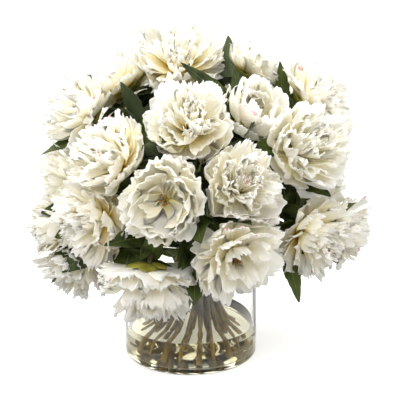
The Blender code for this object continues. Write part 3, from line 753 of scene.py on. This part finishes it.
def gapsBetween(blooms):
    # A gap is the middle of three mutual neighbours, or of two low ones: each bloom's middle
    # counts by the other blooms' radii, so the spot is nearer to the small ones
    middles = np.array([bloom["middle"] for bloom in blooms])
    radii = np.array([bloom["radius"] for bloom in blooms])
    apart = np.linalg.norm(middles[:, None] - middles[None], axis=2)
    near = (apart < sprays["near"] * (radii[:, None] + radii[None])) & (apart > 0)
    first, second, third = np.nonzero(near[:, :, None] & near[None] & near[:, None, :])
    once = (first < second) & (second < third)
    groups = [np.stack([first, second, third], 1)[once]]
    left, right = np.nonzero(np.triu(near))
    low = (middles[left, 2] + middles[right, 2]) / 2 < sprays["skirt"]
    groups.append(np.stack([left, right], 1)[low])
    spots = []
    for group in groups:
        weight = 1 / radii[group]
        weight = weight / weight.sum(1, keepdims=True)
        spots.append((middles[group] * weight[..., None]).sum(1))
    return np.concatenate(spots)


# A leaf's stalk: its stem lies further in by inward at least, in metres; the guide near the leaf stands
# inwards of it by the share pull of the whole way, and the other is the share rise of the way there.
stalk = {"inward": 0.015, "pull": 0.45, "rise": 0.4, "rings": 10, "sides": 8}


def stalkTo(spot, away):
    # A cubic from the nearest stem above the vase that lies further in; it leaves the leaf inwards
    away = unit(away)
    reach = np.linalg.norm(stemCorners - spot, axis=1)
    inward = (spot - stemCorners) @ away > stalk["inward"]
    usable = inward & (stemCorners[:, 2] > vaseSize["height"])
    source = stemCorners[np.argmin(np.where(usable, reach, np.inf))]
    near = spot - stalk["pull"] * np.linalg.norm(spot - source) * away
    low = source * (1 - stalk["rise"]) + near * stalk["rise"]
    t = np.linspace(0, 1, stalk["rings"])[:, None]
    w = 1 - t
    return source * w**3 + 3 * w**2 * t * low + 3 * w * t**2 * near + spot * t**3


def makeSprays(blooms):
    # In every gap a fan of three leaflets points out from the heart, and droops where the gap is low
    rng = np.random.default_rng(sprays["seed"])
    heart = np.array(bloomPlan["heart"])
    fans, stalks = [], []
    for gap in gapsBetween(blooms):
        outward = unit(gap - heart)
        reach = np.linalg.norm(gap - heart)
        start = heart + outward * reach * sprays["deep"]
        start[2] = max(start[2], vaseSize["height"] + sprays["overRim"])
        drop = sprays["droop"] * max(heart[2] - gap[2], 0)
        aim = gap + outward * reach * (sprays["far"] - 1) - (0, 0, drop)
        aim = aim + rng.normal(0, sprays["scatter"], 3)
        length = np.linalg.norm(aim - start) + sprays["spare"]
        heading = unit(aim - start)
        normal = unit(np.cross(heading, rng.normal(0, 1, 3)) + (0, -0.4, 0.8))
        normal = unit(normal - heading * (normal @ heading))
        fans.append(leafletFan(start, heading, normal, length, length * sprays["width"], sprays["turn"]))
        stalks.append(stalkTo(start, outward))
    gathered = [np.concatenate([fan[i] for fan in fans]) for i in range(5)]
    tones = np.repeat(rng.uniform(*sprays["tones"], len(fans)), 3)
    addBlades("sprayLeaves", *gathered, rng, tones, "middling")
    radii = np.tile(np.linspace(*sprays["stalk"], stalk["rings"]), (len(stalks), 1))
    addTubes("sprayStalks", np.array(stalks), radii, stalk["sides"], stalkGreen)


# Low and high are depths below the rim; these, ring, length and width are metres.
mouth = {"count": 60, "low": 0.046, "high": 0.012, "ring": (0.020, 0.046), "lean": 0.68,
         "length": 0.066, "width": 0.040, "scatter": 0.12, "tone": 0.10, "seed": 61}


def makeMouthLeaves():
    # Blades stand in the vase's mouth, from a ring round the stems: out by the lean for every one up,
    # starting low to help close the view into the vase
    rng = np.random.default_rng(mouth["seed"])
    count = mouth["count"]
    turn = goldenTurns(count)
    out = np.stack([np.cos(turn), np.sin(turn), np.zeros(count)], -1)
    reach = rng.uniform(*mouth["ring"], (count, 1))
    height = vaseSize["height"] - rng.uniform(mouth["high"], mouth["low"], count)
    starts = out * reach + np.stack([np.zeros(count), np.zeros(count), height], -1)
    headings = unit(out * mouth["lean"] + (0, 0, 1) + rng.normal(0, mouth["scatter"], (count, 3)))
    normals = unit(out - headings * np.sum(out * headings, axis=1, keepdims=True))
    lengths = mouth["length"] * rng.uniform(0.8, 1.2, count)
    widths = mouth["width"] * rng.uniform(0.85, 1.2, count)
    addBlades("mouthLeaves", starts, headings, normals, lengths, widths, rng, mouth["tone"], "middling")


# Back, length and width are metres; inward is the slope towards the heart.
collar = {"leaves": 3, "back": 0.014, "length": 0.058, "width": 0.030, "inward": 0.22, "scatter": 0.2,
          "tone": 0.15, "seed": 53}


def makeCollars(blooms):
    # Behind every bloom a few blades lie across the way out from the heart, evenly round it,
    # leaning in a little to stay behind most of the neighbours' petals
    rng = np.random.default_rng(collar["seed"])
    count = collar["leaves"]
    starts, headings, normals = [], [], []
    for bloom in blooms:
        outward = unit(bloom["seat"] - np.array(bloomPlan["heart"]))
        side = unit(np.cross(outward, (0.2, 0.1, 1.0)))
        other = np.cross(outward, side)
        turn = 2 * math.pi * (np.arange(count) + rng.uniform(0, 1)) / count
        turn = turn + rng.normal(0, collar["scatter"], count)
        lie = unit(side * np.cos(turn)[:, None] + other * np.sin(turn)[:, None] - collar["inward"] * outward)
        starts.append(np.repeat((bloom["seat"] - outward * collar["back"])[None], count, 0))
        headings.append(lie)
        normals.append(unit(outward - lie * (lie @ outward)[:, None]))
    starts, headings, normals = (np.concatenate(rows) for rows in (starts, headings, normals))
    lengths = collar["length"] * rng.uniform(0.8, 1.15, len(starts))
    widths = collar["width"] * rng.uniform(0.85, 1.15, len(starts))
    addBlades("collarLeaves", starts, headings, normals, lengths, widths, rng, collar["tone"], "middling")


# Shell, blade and width are metres; inner and outer are shares of the shell; top and span give the
# sines of the highest spot and of the way down to the lowest; pieces is how many meshes it fills.
undergrowth = {"count": 138, "shell": 0.125, "inner": 0.42, "outer": 1.12, "top": 0.97, "span": 1.55,
               "blade": 0.066, "width": 0.038, "overRim": 0.01, "out": 0.3, "down": 0.25, "tilt": 0.25,
               "tone": 0.12, "stalk": (0.0013, 0.0010), "pieces": 6, "seed": 19}


def makeUndergrowth():
    # Leaves under the blooms: spots spread by the golden angle over an inner shell, each reached by
    # a stalk from the nearest stem, with its blades lying along the shell
    plan = undergrowth
    rng = np.random.default_rng(plan["seed"])
    heart = np.array(bloomPlan["heart"])
    k = np.arange(plan["count"])
    up = plan["top"] - plan["span"] * (k + 0.5) / plan["count"]
    turn = goldenTurns(plan["count"])
    level = np.sqrt(1 - up**2)
    outward = np.stack([level * np.cos(turn), level * np.sin(turn), up], -1)
    spots = heart + outward * plan["shell"] * rng.uniform(plan["inner"], plan["outer"], (len(k), 1))
    spots[:, 2] = np.maximum(spots[:, 2], vaseSize["height"] + plan["overRim"])
    fans, stalks = [], []
    for spot, away in zip(spots, outward):
        tangent = unit(np.cross(away, rng.normal(0, 1, 3)))
        tangent = unit(tangent + plan["out"] * away - plan["down"] * upwards)
        normal = unit(away + rng.normal(0, plan["tilt"], 3))
        length = plan["blade"] * rng.uniform(0.8, 1.2)
        width = plan["width"] * rng.uniform(0.85, 1.2)
        fans.append(leafletFan(spot, tangent, normal, length, width))
        stalks.append(stalkTo(spot, away))
    gathered = [np.concatenate([fan[i] for fan in fans]) for i in range(5)]
    blades, pieces = len(gathered[0]), plan["pieces"]
    for part in range(pieces):
        chosen = slice(part * blades // pieces, (part + 1) * blades // pieces)
        shares = [rows[chosen] for rows in gathered]
        addBlades("undergrowth_%02d" % (part + 1), *shares, rng, plan["tone"], "plain")
    radii = np.tile(np.linspace(*plan["stalk"], stalk["rings"]), (len(stalks), 1))
    addTubes("undergrowthStalks", np.array(stalks), radii, stalk["sides"], stalkGreen)


# Every is how far the bark stands out all over, knots how far more or less along the slow waves, whose
# radians a metre along x, y and z waves gives; corners closer than merge are joined; smooth is the
# levels of subdivision.
stemSwell = {"every": 0.0014, "knots": 0.0005, "waves": (170.0, 230.0, 310.0), "merge": 0.00002,
             "smooth": 2}


def mergeCorners(mesh):
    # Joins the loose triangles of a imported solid, then moves every corner out along its normal,
    # by a fixed step and by a slow sine along the stem, but never below the stem's own foot
    work = bmesh.new()
    work.from_mesh(mesh)
    bmesh.ops.remove_doubles(work, verts=work.verts, dist=stemSwell["merge"])
    bmesh.ops.recalc_face_normals(work, faces=work.faces)
    work.to_mesh(mesh)
    work.free()
    flat, normals = np.empty(len(mesh.vertices) * 3), np.empty(len(mesh.vertices) * 3)
    mesh.vertices.foreach_get("co", flat)
    mesh.vertices.foreach_get("normal", normals)
    spots = flat.reshape(-1, 3)
    knots = np.sin(spots @ stemSwell["waves"]) * stemSwell["knots"]
    spots = spots + normals.reshape(-1, 3) * (stemSwell["every"] + knots)[:, None]
    spots[:, 2] = np.maximum(spots[:, 2], flat.reshape(-1, 3)[:, 2].min())
    mesh.vertices.foreach_set("co", spots.ravel())
    mesh.update()


# Sets are (degrees turned, share of the way from the axis); waist is the band of heights, in metres,
# where a packed stem's straight part ends; stretch carries the new stem on past it.
leafStems = {"sets": ((18.0, 1.0), (7.0, 0.72)), "outerStems": 10, "waist": (0.172, 0.188),
             "radius": 0.0040, "unevenness": 0.10, "stretch": 1.32, "wander": 0.0030, "offFloor": 0.001,
             "rings": 24, "sides": 14}


def makeLeafStems():
    # Each outer stem's straight part, turned about the vase's axis into the gap beside it, drawn in
    # towards the axis, and carried on upwards: foot + t (top - foot), with a slow sine of wander
    t = np.linspace(0, leafStems["stretch"], leafStems["rings"])[:, None]
    paths = []
    for turnDegrees, share in leafStems["sets"]:
        turn = math.radians(turnDegrees)
        spin = np.array([[share * math.cos(turn), share * math.sin(turn), 0],
                         [-share * math.sin(turn), share * math.cos(turn), 0], [0, 0, 1]])
        for name in stemNames[:leafStems["outerStems"]]:
            points = cadPoints(name)
            foot = points[np.argsort(points[:, 2])[:stemSides]].mean(0)
            low, high = leafStems["waist"]
            top = points[(points[:, 2] > low) & (points[:, 2] < high)].mean(0)
            bend = leafStems["wander"] * np.sin(t * 7 + len(paths) * np.array([1.0, 2.0, 4.0]))
            paths.append((foot + t * (top - foot)) @ spin + bend)
    paths = np.array(paths)
    paths[..., 2] = np.maximum(paths[..., 2], paths[..., 2].min() + leafStems["offFloor"])
    uneven = leafStems["unevenness"] * np.sin(np.arange(leafStems["rings"]) * 1.9)
    radii = np.tile(leafStems["radius"] * (1 + uneven), (len(paths), 1))
    addTubes("leafStems", paths, radii, leafStems["sides"], barkBrown)


def makeStems():
    # A merged copy of each packed stem, rounded by subdivision and roughened by small knots
    for number, name in enumerate(stemNames, 1):
        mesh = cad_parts[name].data.copy()
        mergeCorners(mesh)
        mesh.materials.clear()
        mesh.materials.append(barkBrown)
        piece = bpy.data.objects.new("peonyStem_%02d" % number, mesh)
        bpy.context.scene.collection.objects.link(piece)
        smooth = piece.modifiers.new("round", "SUBSURF")
        smooth.levels = stemSwell["smooth"]
        smooth.render_levels = stemSwell["smooth"]
        mesh.shade_smooth()
        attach(piece, "root")
        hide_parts(name)


# Metres. Heel is the rounding of the outer foot; dish and dishEdge are how far the underside stands up
# at its middle and half way out, and footWidth the standing ring's; least keeps it off the ground.
vaseSize = {"wall": 0.004, "floor": 0.010, "heel": 0.008, "dish": 0.0015, "dishEdge": 0.0012,
            "footWidth": 0.006, "footRound": 0.001, "floorDip": 0.001, "least": 0.0004, "sides": 144}
vaseLow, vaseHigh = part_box("vase")
vaseSize["radius"], vaseSize["height"] = vaseHigh[0], vaseHigh[2]
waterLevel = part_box("water")[1][2]


def arc(centre, radius, start, end, steps):  # points of a round stretch, from degrees to degrees
    angles = np.radians(np.linspace(start, end, steps + 1))
    return [(centre[0] + radius * math.cos(a), centre[1] + radius * math.sin(a)) for a in angles]


def makeVase():
    # Turned profile: underside, heel, outer wall, rounded lip, inner wall, inner corner, floor
    radius, height, wall, floor, heel = (vaseSize[k] for k in ("radius", "height", "wall", "floor", "heel"))
    inner, lip = radius - wall, wall / 2
    foot = (radius - heel - vaseSize["footWidth"], 0.0)
    profile = [(0, vaseSize["dish"]), (radius * 0.5, vaseSize["dishEdge"]),
               *arc(foot, vaseSize["footRound"], 180, 270, 2),
               *arc((radius - heel, heel), heel, -90, 0, 10),
               *arc((radius - lip, height - lip), lip, 0, 180, 12),
               *arc((inner - heel / 2, floor + heel / 2), heel / 2, 0, -90, 8),
               (0, floor - vaseSize["floorDip"])]
    profile = [(r, max(z, vaseSize["least"])) for r, z in profile]
    piece = addTurned("vaseGlass", profile, vaseSize["sides"], clearGlass)
    piece.visible_shadow = False
    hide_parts("vase")


# Touch is how far the water runs into the glass; climb is its edge, as (in from the wall, up), metres.
waterEdge = {"touch": 0.00015, "climb": ((0.0, 0.0018), (0.0006, 0.0008), (0.002, 0.0002), (0.005, 0.0))}


def makeWater():
    # The water meets the glass all over, and climbs it a little at the edge
    inner, floor, corner = vaseSize["radius"] - vaseSize["wall"], vaseSize["floor"], vaseSize["heel"] / 2
    touch = waterEdge["touch"]
    outer = inner + touch
    climb = [(outer - back, waterLevel + up) for back, up in waterEdge["climb"]]
    profile = [(0, floor - vaseSize["floorDip"] - touch),
               *arc((outer - corner, floor + corner - touch), corner, -90, 0, 8),
               *climb, (0, waterLevel)]
    piece = addTurned("stillWater", profile, vaseSize["sides"], waterTintAndShade)
    piece.visible_shadow = False
    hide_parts("water")


def addArea(name, place, target, size, power, colour):  # a softbox turned to face the target
    lamp = bpy.data.lights.new(name, "AREA")
    lamp.shape = "RECTANGLE"
    lamp.size, lamp.size_y = size
    lamp.energy = power
    lamp.color = colour
    thing = bpy.data.objects.new(name, lamp)
    thing.location = place
    aim = np.array(target) - np.array(place)
    thing.rotation_euler = Vector(aim).to_track_quat("-Z", "Y").to_euler()
    bpy.context.scene.collection.objects.link(thing)


# Lamps are (name, place, size, power, colour), with places and sizes in metres; angles are degrees.
stagePlan = {"half": 12.0, "world": (1, 0.985, 0.955, 1), "worldPower": 0.60, "sunPower": 2.6,
             "sunAngle": 40, "sunTilt": (-18, -20), "aim": (0, 0, 0.28),
             "lamps": (("softboxLeft", (-1.7, -0.2, 1.3), (1.4, 1.4), 20, (1, 1, 1)),
                       ("softboxRight", (1.7, 0.2, 1.2), (1.4, 1.4), 20, (1, 1, 1)),
                       ("softboxFront", (-0.2, -1.9, 2.4), (1.8, 1.4), 42, (1, 0.99, 0.97)))}


def makeStage():
    # A large white floor, even light from all round, a soft sun overhead and three softboxes
    half = stagePlan["half"]
    floor = bpy.data.meshes.new("floor")
    corners = [(-half, -half, 0), (half, -half, 0), (half, half, 0), (-half, half, 0)]
    floor.from_pydata(corners, [], [(0, 1, 2, 3)])
    floor.materials.append(floorWhite)
    ground = bpy.data.objects.new("floor", floor)
    bpy.context.scene.collection.objects.link(ground)
    ground.visible_diffuse = False  # the floor's own light would wash out the undersides

    world = bpy.data.worlds.new("studio")
    world.use_nodes = True
    background = world.node_tree.nodes["Background"]
    background.inputs["Color"].default_value = stagePlan["world"]
    background.inputs["Strength"].default_value = stagePlan["worldPower"]
    bpy.context.scene.world = world
    sun = bpy.data.lights.new("overhead", "SUN")
    sun.energy = stagePlan["sunPower"]
    sun.angle = math.radians(stagePlan["sunAngle"])
    overhead = bpy.data.objects.new("overhead", sun)
    overhead.rotation_euler = (*np.radians(stagePlan["sunTilt"]), 0)
    bpy.context.scene.collection.objects.link(overhead)
    for name, place, size, power, colour in stagePlan["lamps"]:
        addArea(name, place, stagePlan["aim"], size, power, colour)


# metres, degrees above the level, and the lens and sensor in millimetres
cameraPlan = {"target": (0.014, 0.0, 0.241), "distance": 1.90, "elevation": 17.0, "lens": 115.2,
              "sensor": 36}


def makeCamera():  # in front of the bouquet and above it, looking down at the target
    lift = math.radians(cameraPlan["elevation"])
    target = np.array(cameraPlan["target"])
    place = target + cameraPlan["distance"] * np.array([0, -math.cos(lift), math.sin(lift)])
    camera = bpy.data.cameras.new("camera")
    camera.lens = cameraPlan["lens"]
    camera.sensor_width = cameraPlan["sensor"]
    thing = bpy.data.objects.new("camera", camera)
    thing.location = place
    thing.rotation_euler = (math.pi / 2 - lift, 0, 0)
    bpy.context.scene.collection.objects.link(thing)
    bpy.context.scene.camera = thing


bpy.context.scene.view_settings.view_transform = "Standard"
bpy.context.scene.cycles.max_bounces = 24  # light goes through glass, water and many petals
bpy.context.scene.cycles.transmission_bounces = 24
bpy.context.scene.cycles.diffuse_bounces = 10
stemCorners = np.concatenate([cadPoints(name) for name in stemNames])
makeCamera()
makeStage()
makeVase()
makeWater()
print("vase and water made")
makeStems()
makeLeafStems()
print("stems made")
blooms = [bloomSeat(name, number) for number, name in enumerate(bloomNames, 1)]
for number, bloom in enumerate(blooms, 1):
    makeBloom(bloom, number, blooms)
print("blooms made")
makeNamedLeaves()
makeUndergrowth()
makeSprays(blooms)
makeCollars(blooms)
makeMouthLeaves()
print("leaves made")
